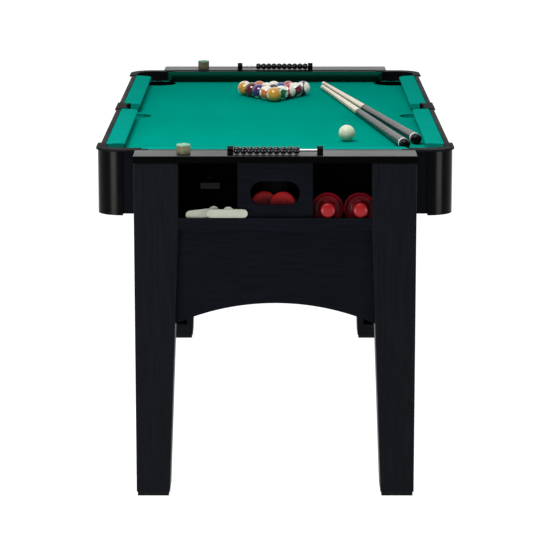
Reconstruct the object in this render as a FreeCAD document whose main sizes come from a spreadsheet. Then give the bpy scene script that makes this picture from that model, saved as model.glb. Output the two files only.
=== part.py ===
# Flip-top games table: a pool field on one side and a slide-hockey field on the other, hung between two
# end frames with storage bays.  Millimetres, +Z up, X across, Y along; the origin is on the floor under
# the middle of the table.
import FreeCAD, Part
import math
import os
import re
import Sketcher

SIZES = {
    # overall
    "table_height": 762, "table_length": 1700, "round_over": 2,
    # end frames
    "frame_half": 307.5, "frame_depth": 90, "top_board": 15, "top_overhang": 1,
    "leg_inner_top": 211, "leg_inner_foot": 233.5, "leg_wall": 16, "leg_sole": 30,
    "foot_tall": 9, "foot_inset": 2.5, "screw_across": 301, "screw_upper": 313, "screw_lower": 220,
    "screw_head": 4.5, "screw_proud": 1.4, "screw_chamfer": 0.6,
    # storage bays
    "bay_floor": 605, "shelf_board": 6, "lip_top": 625, "lip_depth": 12, "front_set": 2,
    "panel_set": 16, "panel_board": 12, "bay_half": 82, "divider_inset": 4, "puck_floor": 618,
    "back_board": 18, "back_foot": 560, "slot_half": 54, "slot_tall": 52, "slot_height": 678,
    # arched apron
    "apron_set": 14, "apron_board": 15, "arch_top": 434.7, "arch_foot": 388.5,
    # bead scorers
    "scorer_half": 104, "bracket_wide": 13, "bracket_deep": 20, "bracket_tall": 18.5,
    "near_scorer_set": 28, "far_scorer_set": 78, "rod_height": 8.9, "rod_radius": 3,
    "bead_radius": 8.5, "bead_bulge": 4.2, "bead_pitch": 14.4, "bead_long": 14.2, "bead_bore": 3.1,
    "bead_start": 0.8,
    # turning cabinet
    "cab_half": 390.5, "cab_end": 751, "cab_floor": 619, "cab_board": 10.5, "end_board": 14,
    "rail_top": 760.5, "cab_corner": 52, "casing_wall": 6, "casing_proud": 3, "casing_foot": 615.5,
    "casing_across": 336, "casing_along": 664, "cover_seat": 757.5, "cover_overhang": 7,
    "side_overhang": 4, "cover_round": 1.5, "field_corner": 46,
    # pivots and locks
    "pivot_height": 692, "pin_radius": 10, "pin_fit": 0.05, "pin_play": 0.3, "pin_head": 16,
    "pin_head_thick": 6, "pin_flange": 28, "pin_flange_thick": 5, "bush_radius": 15, "bush_flange": 27,
    "flange_thick": 3, "lock_across": 142, "lock_radius": 5, "lock_fit": 0.1, "keeper_fit": 0.5,
    "lock_flange": 14, "guide_radius": 9, "guide_long": 14, "bolt_drawn": 1, "pull_out": 28,
    "pull_thick": 10, "pull_half": 20.75, "pull_tall": 13,
    # pool field
    "field_top": 736, "field_board": 11, "cloth_thick": 1, "nose_half": 338, "nose_end": 682,
    "rail_back": 737, "cloth_edge": 380, "nose_fall": 4, "nose_waist": 12, "nose_undercut": 13,
    "corner_hole": 53, "corner_across": 323, "corner_along": 670, "mouth_radius": 42,
    "mouth_across": 335, "mouth_along": 680,
    "side_hole": 38, "side_across": 345, "side_notch": 370, "notch_bow": 8,
    "cup_wall": 2, "cup_deep": 47, "cup_fit": 0.1, "scoop_fit": 0.2, "side_mouth": 58,
    "side_throat": 46, "rail_nose_end": 630, "rail_back_end": 650, "end_nose": 284, "end_back": 300,
    "arm_across": 279, "arm_along": 640, "casting_gap": 0.5, "plug_gap": 0.3, "side_plate": 60,
    # hockey field, facing the floor while the pool field is up
    "ice_height": 646, "ice_board": 6, "bumper_wide": 22, "goal_half": 95,
    # balls, cues and chalk
    "ball_radius": 19.05, "ball_pitch": 38.2, "rest_gap": 0.3, "rack_across": -3.5, "rack_along": 271,
    "cue_long": 1143, "cue_tip": 5.5, "cue_joint": 8.6, "cue_butt": 12.4, "cue_dome": 9,
    "chalk_side": 22, "chalk_across": -199.5,
    # loose hockey pieces
    "puck_radius": 29, "puck_thick": 6, "striker_radius": 35.3, "striker_rim": 9, "striker_dish": 4,
    "striker_knob": 16, "striker_neck": 13.5, "striker_tall": 45,
    "bar_tall": 18.5, "bar_thick": 5, "clamp_radius": 12, "clamp_deep": 7, "clamp_height": 637,
    "clamp_foot": 7,
}

doc = FreeCAD.newDocument("flip_games_table")
dims = doc.addObject("Spreadsheet::Sheet", "Dims")
for row, (alias, value) in enumerate(SIZES.items(), start=1):
    dims.set(f"A{row}", alias)
    dims.set(f"B{row}", str(value))
    dims.setAlias(f"B{row}", alias)
doc.recompute()

NODES = []
UP = FreeCAD.Vector(0, 0, 1)
HERE = FreeCAD.Placement()
TURNED = FreeCAD.Placement(FreeCAD.Vector(0, 0, 0), FreeCAD.Rotation(UP, 180))
UPRIGHT = FreeCAD.Placement(FreeCAD.Vector(0, 0, 0), FreeCAD.Rotation(FreeCAD.Vector(1, 0, 0), 90))


def sized(text):
    """Writes a size text such as 'cab_half - cab_board' as a sheet expression."""
    return re.sub(r"[a-z_]+", lambda word: f"Dims.{word[0]}" if word[0] in SIZES else word[0], str(text))


def size(text):
    """The present value of a size text."""
    value = dims.evalExpression(sized(text))
    return float(getattr(value, "Value", value))


def minus(text):
    return f"-1 * ({text})"


def keep(item, label):
    """Marks an object as a node of the finished part."""
    item.Label = label
    NODES.append(item)
    return item


# ---------------------------------------------------------------- outlines
def pin_point(drawing, edge, end, name, across, up):
    """Ties one end of a sketch edge to two size texts."""
    for kind, text in (("DistanceX", across), ("DistanceY", up)):
        drawing.addConstraint(Sketcher.Constraint(kind, edge, end, size(text)))
        last = drawing.ConstraintCount - 1
        drawing.renameConstraint(last, f"{name}_{kind}")
        drawing.setExpression(f"Constraints.{name}_{kind}", sized(text))


def draw_outline(drawing, corners):
    """Draws a closed outline.  A corner is (x, y), or (x, y, mid x, mid y) where an arc leaves it
    through that middle point to the next corner."""
    spots = [FreeCAD.Vector(size(corner[0]), size(corner[1]), 0) for corner in corners]
    for index, corner in enumerate(corners):
        start = spots[index]
        stop = spots[(index + 1) % len(corners)]
        ends = corners[(index + 1) % len(corners)]
        if len(corner) == 2:
            edge = drawing.addGeometry(Part.LineSegment(start, stop), False)
            pin_point(drawing, edge, 1, f"corner{index}", corner[0], corner[1])
            pin_point(drawing, edge, 2, f"corner{index}_end", ends[0], ends[1])
            continue
        middle = FreeCAD.Vector(size(corner[2]), size(corner[3]), 0)
        arc = Part.Arc(start, middle, stop)
        edge = drawing.addGeometry(arc, False)
        turn = drawing.Geometry[edge]
        start_end = 1 if drawing.getPoint(edge, 1).distanceToPoint(start) < 0.001 else 2
        pin_point(drawing, edge, start_end, f"corner{index}", corner[0], corner[1])
        pin_point(drawing, edge, 3 - start_end, f"corner{index}_end", ends[0], ends[1])
        if turn.Radius > 0.505 * start.distanceToPoint(stop):
            drawing.addConstraint(Sketcher.Constraint("Radius", edge, turn.Radius))
            continue
        # a half round keeps its centre level with the middle of its chord
        upright = abs(start.x - stop.x) < abs(start.y - stop.y)
        kind = "DistanceX" if upright else "DistanceY"
        which = 0 if upright else 1
        centre = f"(({corner[which]}) + ({ends[which]})) / 2"
        drawing.addConstraint(Sketcher.Constraint(kind, edge, 3, size(centre)))
        drawing.renameConstraint(drawing.ConstraintCount - 1, f"corner{index}_centre")
        drawing.setExpression(f"Constraints.corner{index}_centre", sized(centre))


def draw_circle(drawing, name, across, up, radius):
    centre = FreeCAD.Vector(size(across), size(up), 0)
    edge = drawing.addGeometry(Part.Circle(centre, UP, size(radius)), False)
    pin_point(drawing, edge, 3, name, across, up)
    drawing.addConstraint(Sketcher.Constraint("Radius", edge, size(radius)))
    drawing.renameConstraint(drawing.ConstraintCount - 1, f"{name}_radius")
    drawing.setExpression(f"Constraints.{name}_radius", sized(radius))


# ---------------------------------------------------------------- bodies
PLANES = {"plan": "XY_Plane", "front": "XZ_Plane", "side": "YZ_Plane"}


def new_body(label, place=HERE):
    body = doc.addObject("PartDesign::Body", label)
    body.Placement = place
    return keep(body, label)


def sketch_on(body, plane, level):
    """A sketch on one of the body's own planes, moved off it to 'level' along the plane's normal."""
    drawing = body.newObject("Sketcher::SketchObject", "Outline")
    role = PLANES[plane]
    face = [item for item in body.Origin.OriginFeatures if item.Role == role][0]
    drawing.AttachmentSupport = [(face, "")]
    drawing.MapMode = "FlatFace"
    drawing.setExpression("AttachmentOffset.Base.z", sized(level))
    return drawing


def pad(body, plane, level, length, corners, reverse=False, circles=()):
    drawing = sketch_on(body, plane, level)
    if corners:
        draw_outline(drawing, corners)
    for index, circle in enumerate(circles):
        draw_circle(drawing, f"round{index}", *circle)
    feature = body.newObject("PartDesign::Pad", "Pad")
    feature.Profile = drawing
    feature.setExpression("Length", sized(length))
    feature.Reversed = reverse
    doc.recompute()
    return feature


def pocket(body, plane, level, length, corners=(), circles=(), reverse=False):
    """Cuts an outline or circles; the cut runs against the plane's normal unless it is reversed."""
    before = body.Shape.Volume
    drawing = sketch_on(body, plane, level)
    if corners:
        draw_outline(drawing, corners)
    for index, circle in enumerate(circles):
        draw_circle(drawing, f"round{index}", *circle)
    feature = body.newObject("PartDesign::Pocket", "Pocket")
    feature.Profile = drawing
    feature.setExpression("Length", sized(length))
    feature.Reversed = reverse
    doc.recompute()
    if body.Shape.Volume > before - 1:
        raise RuntimeError(f"{body.Label}: a cut removed nothing")
    return feature


def round_edges(body, radius, chosen):
    """Rounds the body's edges for which chosen(edge) is true."""
    base = body.Tip
    names = []
    for index, edge in enumerate(base.Shape.Edges, start=1):
        if chosen(edge):
            names.append(f"Edge{index}")
    feature = body.newObject("PartDesign::Fillet", "Rounding")
    feature.Base = (base, names)
    feature.setExpression("Radius", sized(radius))
    doc.recompute()
    return feature


def edge_at(axis, place):
    """A test for edges that lie wholly at one level of an axis (0, 1 or 2)."""
    level = size(place)
    return lambda edge: all(abs(vertex.Point[axis] - level) < 0.01 for vertex in edge.Vertexes)


def box_corners(left, right, low, high):
    return [(left, low), (right, low), (right, high), (left, high)]


def board(label, left, right, front, back, low, high, place=HERE):
    """A plain cut board as a padded rectangle."""
    body = new_body(label, place)
    pad(body, "plan", low, f"({high}) - ({low})", box_corners(left, right, front, back))
    return body


# ---------------------------------------------------------------- loose solids for groups
def prism(plane, level, length, corners, place=HERE):
    """An extruded outline that becomes one member of a group."""
    drawing = doc.addObject("Sketcher::SketchObject", "GroupOutline")
    turns = {"plan": FreeCAD.Rotation(), "front": FreeCAD.Rotation(FreeCAD.Vector(1, 0, 0), 90)}
    normal = {"plan": UP, "front": FreeCAD.Vector(0, -1, 0)}[plane]
    drawing.Placement = FreeCAD.Placement(normal * size(level), turns[plane])
    draw_outline(drawing, corners)
    doc.recompute()
    solid = doc.addObject("Part::Extrusion", "GroupSolid")
    solid.Base = drawing
    solid.DirMode = "Custom"
    solid.Dir = normal
    solid.Solid = True
    solid.setExpression("LengthFwd", sized(length))
    solid.Placement = place
    return solid


def turned_solid(corners, place=HERE):
    """A turned piece: the outline is (radius, height) and spins about +Z; 'place' then sets it down."""
    drawing = doc.addObject("Sketcher::SketchObject", "TurnOutline")
    drawing.Placement = UPRIGHT
    draw_outline(drawing, corners)
    doc.recompute()
    solid = doc.addObject("Part::Revolution", "TurnedSolid")
    solid.Source = drawing
    solid.Axis = UP
    solid.Base = FreeCAD.Vector(0, 0, 0)
    solid.Angle = 360
    solid.Solid = True
    solid.Placement = place
    return solid


def group(label, members):
    """Identical pieces that share one node as separate solids."""
    bundle = doc.addObject("Part::Compound", label)
    bundle.Links = members
    doc.recompute()
    return keep(bundle, label)


def placed(across, along, height, axis=UP, angle=0):
    spot = FreeCAD.Vector(size(across), size(along), size(height))
    return FreeCAD.Placement(spot, FreeCAD.Rotation(axis, angle))


ENDS = (("near", HERE), ("far", TURNED))
FRONT = "-table_length / 2"
INNER = "-table_length / 2 + frame_depth"
FACE = f"{FRONT} + front_set"
BACK_FACE = f"{INNER} - back_board"
UNDER_TOP = "table_height - top_board"
SHELF_UNDER = "bay_floor - shelf_board"
SIDES = (("left", "-1"), ("right", "1"))


# ---------------------------------------------------------------- end frames
def make_leg(label, side, place):
    """A box leg, open at the back: straight outside, tapered inside below the shelf."""
    body = new_body(label, place)
    outer = f"{side} * frame_half"
    top = f"{side} * leg_inner_top"
    foot = f"{side} * leg_inner_foot"
    face = [(outer, "foot_tall"), (foot, "foot_tall"), (top, SHELF_UNDER), (top, UNDER_TOP),
            (outer, UNDER_TOP)]
    pad(body, "front", minus(INNER), "frame_depth - front_set", face)
    inside = [(f"{side} * (frame_half - leg_wall)", "foot_tall + leg_sole"),
              (f"{side} * (leg_inner_foot + leg_wall)", "foot_tall + leg_sole"),
              (f"{side} * (leg_inner_top + leg_wall)", SHELF_UNDER),
              (f"{side} * (leg_inner_top + leg_wall)", f"{UNDER_TOP} - leg_wall"),
              (f"{side} * (frame_half - leg_wall)", f"{UNDER_TOP} - leg_wall")]
    pocket(body, "front", minus(INNER), "frame_depth - front_set - leg_wall", inside, reverse=True)
    # the inner wall stops at the shelf, so the storage bay runs on behind the leg's front board
    window = box_corners(f"{side} * (leg_inner_top - 1)", f"{side} * (leg_inner_top + leg_wall + 1)",
                         "bay_floor", f"{UNDER_TOP} - leg_wall")
    pocket(body, "front", minus(BACK_FACE), f"({BACK_FACE}) - ({FACE} + leg_wall)", window, reverse=True)
    round_edges(body, "round_over", edge_at(1, FACE))


def make_top_board(label, place):
    wide = "frame_half + top_overhang"
    body = board(label, minus(wide), wide, FRONT, INNER, UNDER_TOP, "table_height", place)
    round_edges(body, "round_over", edge_at(2, "table_height"))


def make_back_panel(label, place):
    """The board that carries the pivot; its upper part closes the storage bays."""
    body = new_body(label, place)
    pad(body, "front", minus(INNER), "back_board",
        box_corners("-leg_inner_top", "leg_inner_top", "back_foot", UNDER_TOP))
    pocket(body, "front", minus(INNER), "back_board + 1", circles=[
        ("0", "pivot_height", "bush_radius"),
        ("-lock_across", "pivot_height", "lock_radius + lock_fit"),
    ], reverse=True)


def make_centre_panel(label, place):
    """The panel across the middle bay, with its stadium-shaped hand slot."""
    body = new_body(label, place)
    back = minus(f"{FRONT} + panel_set + panel_board")
    pad(body, "front", back, "panel_board", box_corners("-bay_half", "bay_half", "bay_floor", UNDER_TOP))
    low = "slot_height - slot_tall / 2"
    high = "slot_height + slot_tall / 2"
    straight = "slot_half - slot_tall / 2"
    slot = [(minus(straight), low), (straight, low, "slot_half", "slot_height"), (straight, high),
            (minus(straight), high, "-slot_half", "slot_height")]
    pocket(body, "front", back, "panel_board + 1", slot, reverse=True)
    face = edge_at(1, f"{FRONT} + panel_set")
    round_edges(body, "round_over", lambda edge: face(edge)
                and abs(edge.CenterOfMass.z - size("slot_height")) < size("slot_tall")
                and abs(edge.CenterOfMass.x) < size("slot_half") + 1)


def make_shelf(label, place):
    """The floor of the bays with the taller lip along its front."""
    body = new_body(label, place)
    lip_back = f"{FACE} + lip_depth"
    profile = [(FACE, SHELF_UNDER), (BACK_FACE, SHELF_UNDER), (BACK_FACE, "bay_floor"),
               (lip_back, "bay_floor"), (lip_back, "lip_top"), (FACE, "lip_top")]
    pad(body, "side", "-leg_inner_top", "2 * leg_inner_top", profile)
    round_edges(body, "round_over", lambda edge: edge_at(1, FACE)(edge) and edge_at(2, "lip_top")(edge))


def make_apron(label, place):
    """The board under the shelf: its ends follow the legs and its foot is an arch."""
    body = new_body(label, place)
    taper = f"(leg_inner_foot - leg_inner_top) / ({SHELF_UNDER} - foot_tall)"
    foot = f"leg_inner_top + {taper} * ({SHELF_UNDER} - arch_foot)"
    outline = [("leg_inner_top", SHELF_UNDER), (minus("leg_inner_top"), SHELF_UNDER),
               (minus(f"({foot})"), "arch_foot", "0", "arch_top"), (foot, "arch_foot")]
    pad(body, "front", minus(f"{FRONT} + apron_set + apron_board"), "apron_board", outline)


def make_middle_bays():
    """In each end frame two dividers and a raised floor board between them make the middle bay."""
    front = f"{FRONT} + panel_set + panel_board"
    outer = "bay_half - divider_inset"
    inner = f"{outer} - panel_board"
    floor = box_corners(f"plug_gap - ({inner})", f"{inner} - plug_gap", front, BACK_FACE)
    members = []
    for _, place in ENDS:
        members.append(prism("plan", "bay_floor", "puck_floor - bay_floor", floor, place))
        for _, side in SIDES:
            corners = box_corners(f"{side} * ({inner})", f"{side} * ({outer})", front, BACK_FACE)
            members.append(prism("plan", "bay_floor", f"{UNDER_TOP} - bay_floor", corners, place))
    group("middle_bay_boards", members)


def make_feet():
    """Black foot caps, set in a little from the leg."""
    members = []
    for _, place in ENDS:
        for _, side in SIDES:
            outer = f"{side} * (frame_half - foot_inset)"
            inner = f"{side} * (leg_inner_foot + foot_inset)"
            corners = box_corners(inner, outer, f"{FACE} + foot_inset", f"{INNER} - foot_inset")
            members.append(prism("plan", "0", "foot_tall", corners, place))
    group("foot_caps", members)


def make_leg_screws():
    """Low screw heads in pairs near the outer edge of each leg."""
    face_out = FreeCAD.Rotation(FreeCAD.Vector(1, 0, 0), 90)
    head = [("0", "0"), ("screw_head", "0"), ("screw_head", "screw_proud - screw_chamfer"),
            ("screw_head - screw_chamfer", "screw_proud"), ("0", "screw_proud")]
    members = []
    for _, place in ENDS:
        for _, side in SIDES:
            for level in ("screw_upper", "screw_lower"):
                spot = FreeCAD.Vector(size(f"{side} * screw_across"), size(FACE), size(level))
                members.append(turned_solid(head, place.multiply(FreeCAD.Placement(spot, face_out))))
    group("leg_screws", members)


# ---------------------------------------------------------------- scorers
ALONG_X = FreeCAD.Rotation(FreeCAD.Vector(0, 1, 0), 90)
# the far scorer stands on the inner edge of its board, the near one close to the outer edge
SCORERS = {"near": (HERE, f"{FRONT} + near_scorer_set"), "far": (TURNED, f"{FRONT} + far_scorer_set")}


def make_scorer_brackets():
    """Round-topped end blocks that hold the bead rods."""
    members = []
    half = "bracket_deep / 2"
    crown = f"table_height + bracket_tall - {half}"
    outline = [(minus(half), "table_height"), (half, "table_height"),
               (half, crown, "0", "table_height + bracket_tall"), (minus(half), crown)]
    for place, along in SCORERS.values():
        for left in ("-scorer_half", "scorer_half - bracket_wide"):
            across = FreeCAD.Placement(FreeCAD.Vector(size(left), size(along), 0),
                                       FreeCAD.Rotation(UP, -90))
            members.append(prism("front", minus("bracket_wide"), "bracket_wide", outline,
                                 place.multiply(across)))
    group("scorer_brackets", members)


def make_scorer_rods():
    members = []
    reach = "scorer_half - bracket_wide"
    for place, along in SCORERS.values():
        spot = FreeCAD.Vector(size(minus(f"({reach})")), size(along), size("table_height + rod_height"))
        rod = doc.addObject("Part::Cylinder", "Rod")
        rod.setExpression("Radius", sized("rod_radius"))
        rod.setExpression("Height", sized(f"2 * ({reach})"))
        rod.Placement = place.multiply(FreeCAD.Placement(spot, ALONG_X))
        members.append(rod)
    group("scorer_rods", members)


def make_beads(end):
    """Ten rounded beads pushed to the left end of the rod."""
    place, along = SCORERS[end]
    rim = "bead_radius - bead_bulge"
    bead = [("bead_bore", "0"), (rim, "0", "bead_radius", "bead_long / 2"), (rim, "bead_long"),
            ("bead_bore", "bead_long")]
    members = []
    for index in range(10):
        left = f"-scorer_half + bracket_wide + bead_start + {index} * bead_pitch"
        spot = FreeCAD.Vector(size(left), size(along), size("table_height + rod_height"))
        members.append(turned_solid(bead, place.multiply(FreeCAD.Placement(spot, ALONG_X))))
    group(f"scorer_beads_{end}", members)


# ---------------------------------------------------------------- pivots and locks
ALONG_Y = FreeCAD.Rotation(FreeCAD.Vector(1, 0, 0), -90)


def on_pivot_line(place, across, along):
    """A placement whose own +Z runs inward along the table's Y from an end frame."""
    spot = FreeCAD.Vector(size(across), size(along), size("pivot_height"))
    return place.multiply(FreeCAD.Placement(spot, ALONG_Y))


def make_bushes():
    """Flanged steel bushes pressed into the back panels; the cabinet's pins turn in them."""
    bore = "pin_radius + pin_fit"
    profile = [(bore, minus("flange_thick")), ("bush_flange", minus("flange_thick")), ("bush_flange", "0"),
               ("bush_radius", "0"), ("bush_radius", "back_board"), (bore, "back_board")]
    members = [turned_solid(profile, on_pivot_line(place, "0", BACK_FACE)) for _, place in ENDS]
    group("pivot_bushes", members)


def make_pins():
    """Flanged pivot pins with a head inside the middle bay, bolted to the cabinet ends."""
    length = f"-cab_end + end_board - ({BACK_FACE})"
    neck = minus("(flange_thick + pin_play)")
    head = minus("(flange_thick + pin_play + pin_head_thick)")
    foot = f"{length} + pin_flange_thick"
    profile = [("0", head), ("pin_head", head), ("pin_head", neck), ("pin_radius", neck),
               ("pin_radius", length), ("pin_flange", length), ("pin_flange", foot), ("0", foot)]
    members = [turned_solid(profile, on_pivot_line(place, "0", BACK_FACE)) for _, place in ENDS]
    group("pivot_pins", members)


def make_lock_guides():
    """Flanged sleeves on the storage side of the back panel that steady the lock bolts."""
    bore = "lock_radius + lock_fit"
    end = minus("guide_long")
    flange = minus("flange_thick")
    profile = [(bore, end), ("guide_radius", end), ("guide_radius", flange), ("lock_flange", flange),
               ("lock_flange", "0"), (bore, "0")]
    members = [turned_solid(profile, on_pivot_line(place, "-lock_across", BACK_FACE)) for _, place in ENDS]
    group("lock_guides", members)


def make_lock_bolt(label, place):
    """A round bolt with a crossbar pull; drawn back it clears the cabinet."""
    body = new_body(label, place)
    tip = f"{INNER} - bolt_drawn"
    pull_back = f"{BACK_FACE} - pull_out"
    pad(body, "front", minus(tip), f"({tip}) - ({pull_back})", (), circles=[
        (minus("lock_across"), "pivot_height", "lock_radius")])
    pull = box_corners("-lock_across - pull_half", "-lock_across + pull_half",
                       "pivot_height - pull_tall / 2", "pivot_height + pull_tall / 2")
    pad(body, "front", minus(pull_back), "pull_thick", pull)


# ---------------------------------------------------------------- turning cabinet
def make_cabinet_side(label, side):
    """A long side board; its top is let down under the pocket covers."""
    body = new_body(label)
    outline = [("-casing_along", "cab_floor"), ("casing_along", "cab_floor"), ("casing_along", "cover_seat"),
               ("arm_along", "cover_seat"), ("arm_along", "rail_top"), ("side_plate", "rail_top"),
               ("side_plate", "cover_seat"), ("-side_plate", "cover_seat"), ("-side_plate", "rail_top"),
               ("-arm_along", "rail_top"), ("-arm_along", "cover_seat"), ("-casing_along", "cover_seat")]
    level = "cab_half - cab_board" if side == "1" else "-cab_half"
    pad(body, "side", level, "cab_board", outline)
    # a shallow scoop in the inner face for the middle pocket's cup
    pocket(body, "plan", "field_top", "cup_deep + cloth_thick + 1", circles=[
        (f"{side} * side_across", "0", "side_hole + scoop_fit")])


def make_cabinet_end(label, place):
    """An end board with the pivot hole and a keeper hole on each side for the lock bolt."""
    body = new_body(label, place)
    outline = [("-casing_across", "cab_floor"), ("casing_across", "cab_floor"),
               ("casing_across", "cover_seat"), ("arm_across", "cover_seat"), ("arm_across", "rail_top"),
               ("-arm_across", "rail_top"), ("-arm_across", "cover_seat"), ("-casing_across", "cover_seat")]
    pad(body, "front", "cab_end - end_board", "end_board", outline)
    keeper = "lock_radius + keeper_fit"
    pocket(body, "front", "cab_end - end_board", "end_board + 1", circles=[
        ("0", "pivot_height", "pin_radius"),
        ("-lock_across", "pivot_height", keeper),
        ("lock_across", "pivot_height", keeper)], reverse=True)


CORNERS = (("near_left", -1, -1), ("near_right", 1, -1), ("far_left", -1, 1), ("far_right", 1, 1))


def cornered(points, across, along):
    """Turns an outline drawn for the far right corner into the one for another corner."""
    turned = []
    for point in points:
        signs = (across, along) * (len(point) // 2)
        turned.append(tuple(f"{sign} * ({text})" for sign, text in zip(signs, point)))
    return turned


def rounded_corner(overhang, radius, far_across, far_along):
    """Corner texts for the outside of a corner: (start x, y, arc middle x, y), (end x, y)."""
    edge = f"cab_half + {overhang}"
    end = f"cab_end + {overhang}"
    bow = f"({radius}) * {1 - math.sqrt(0.5):.6f}"
    return [(far_across, end), (f"{edge} - ({radius})", end, f"{edge} - {bow}", f"{end} - {bow}"),
            (edge, f"{end} - ({radius})"), (edge, far_along)]


def make_casing(label, across, along):
    """A rounded corner shell that joins a side board to an end board."""
    body = new_body(label)
    outside = rounded_corner("casing_proud", "cab_corner + casing_proud", "casing_across", "casing_along")
    inside = rounded_corner("(-casing_wall)", "cab_corner - casing_wall", "casing_across", "casing_along")
    wall = outside + [(inside[3][0], inside[3][1]), (inside[2][0], inside[2][1], inside[1][2], inside[1][3]),
                      (inside[1][0], inside[1][1]), (inside[0][0], inside[0][1])]
    pad(body, "plan", "casing_foot", "cover_seat - casing_foot", cornered(wall, across, along))


def side_rail_end(across, clear):
    """How far along the table a side rail's corner end reaches at a distance across, plus a gap."""
    slope = "(rail_back_end - rail_nose_end) / (cloth_edge - nose_half)"
    return f"rail_nose_end + {clear} + (({across}) - nose_half) * {slope}"


def end_rail_end(along, clear):
    """How far across an end rail reaches at a distance along the table, plus a gap."""
    slope = "(end_back - end_nose) / (rail_back - nose_end)"
    return f"end_nose + {clear} + (({along}) - nose_end) * {slope}"


def make_corner_pocket(label, across, along):
    """A moulded corner cover: a plug behind the pocket mouth under a flange with an arm along each rail."""
    body = new_body(label)
    beside = "mouth_across + mouth_radius"
    behind = "mouth_along + mouth_radius"
    mouth = [(beside, side_rail_end(beside, "casting_gap")),
             (beside, "mouth_along", "mouth_across + mouth_radius * 0.70711",
              "mouth_along + mouth_radius * 0.70711"),
             ("mouth_across", behind), (end_rail_end(behind, "casting_gap"), behind)]
    inner = "cloth_edge - plug_gap"
    back = "rail_back - plug_gap"
    bow = "(cab_corner - cab_board) * 0.29289"
    plug = [("end_back + casting_gap", back),
            ("cab_half - cab_corner", back, f"{inner} - {bow}", f"{back} - {bow}"),
            (inner, "cab_end - cab_corner"), (inner, side_rail_end(inner, "casting_gap"))] + mouth
    pad(body, "plan", "field_top", "cover_seat - field_top", cornered(plug, across, along))
    outer = rounded_corner("cover_overhang", "cab_corner + cover_overhang", "arm_across + casting_gap",
                           "arm_along + casting_gap")
    flange = outer + [("cloth_edge + casting_gap", "arm_along + casting_gap"),
                      ("cloth_edge + casting_gap", "rail_back_end + casting_gap")] + mouth + [
                      ("end_back + casting_gap", "rail_back + casting_gap"),
                      ("arm_across + casting_gap", "rail_back + casting_gap")]
    pad(body, "plan", "cover_seat", "table_height - cover_seat", cornered(flange, across, along))
    round_edges(body, "cover_round", edge_at(2, "table_height"))


def make_side_pocket(label, side):
    """A moulded cover outside a middle pocket; its mouth bows outward between the cushion ends."""
    body = new_body(label)
    slope = "(side_mouth - side_throat) / (cloth_edge - nose_half)"
    lip = "side_notch - notch_bow"
    lip_along = f"side_mouth - casting_gap - (({lip}) - nose_half) * {slope}"
    mouth = [(lip, minus(f"({lip_along})"), "side_notch", "0"), (lip, lip_along)]
    inner = "cloth_edge - plug_gap"
    throat = "side_throat - casting_gap"
    plug = [(inner, throat), (inner, minus(f"({throat})"))] + mouth
    pad(body, "plan", "field_top", "cover_seat - field_top", cornered(plug, side, 1))
    rim = "cab_half + side_overhang"
    plate = "side_plate - casting_gap"
    flange = [(rim, plate), (rim, minus(f"({plate})")), ("cloth_edge + casting_gap", minus(f"({plate})")),
              ("cloth_edge + casting_gap", minus(f"({throat})"))] + mouth + [
              ("cloth_edge + casting_gap", throat), ("cloth_edge + casting_gap", plate)]
    pad(body, "plan", "cover_seat", "table_height - cover_seat", cornered(flange, side, 1))
    round_edges(body, "cover_round", edge_at(2, "table_height"))


def field_outline(inset):
    """Plan of a field board: it fits inside the side and end boards, with rounded corners."""
    wide = f"cab_half - cab_board - {inset}"
    long = f"cab_end - end_board - {inset}"
    turn = "field_corner"
    bow = "field_corner * 0.29289"
    return [(f"-({wide})", f"-({long}) + {turn}", f"-({wide}) + {bow}", f"-({long}) + {bow}"),
            (f"-({wide}) + {turn}", f"-({long})"),
            (f"{wide} - {turn}", f"-({long})", f"{wide} - {bow}", f"-({long}) + {bow}"),
            (wide, f"-({long}) + {turn}"),
            (wide, f"{long} - {turn}", f"{wide} - {bow}", f"{long} - {bow}"),
            (f"{wide} - {turn}", long),
            (f"-({wide}) + {turn}", long, f"-({wide}) + {bow}", f"{long} - {bow}"),
            (f"-({wide})", f"{long} - {turn}")]


def pocket_rounds(slack):
    rounds = []
    for across in ("-1", "1"):
        for along in ("-1", "0", "1"):
            if along == "0":
                rounds.append((f"{across} * side_across", "0", f"side_hole {slack}"))
                continue
            rounds.append((f"{across} * corner_across", f"{along} * corner_along", f"corner_hole {slack}"))
    return rounds


def make_field(label, low, thick):
    """A sheet the size of the playfield with the six pocket holes."""
    body = new_body(label)
    pad(body, "plan", low, thick, field_outline("0"))
    pocket(body, "plan", f"{low} + {thick}", f"{thick} + 1", circles=pocket_rounds(""))


def make_cups():
    """Six cups that hang in the pocket holes and catch the balls."""
    members = []
    for across, along, hole in pocket_rounds("- cup_fit"):
        top = "field_board"
        foot = "-cup_deep + field_board"
        profile = [("0", foot), (hole, foot), (hole, top), (f"{hole} - cup_wall", top),
                   (f"{hole} - cup_wall", f"{foot} + cup_wall"), ("0", f"{foot} + cup_wall")]
        members.append(turned_solid(profile, placed(across, along, "field_top - cloth_thick - field_board")))
    group("pocket_cups", members)


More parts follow.
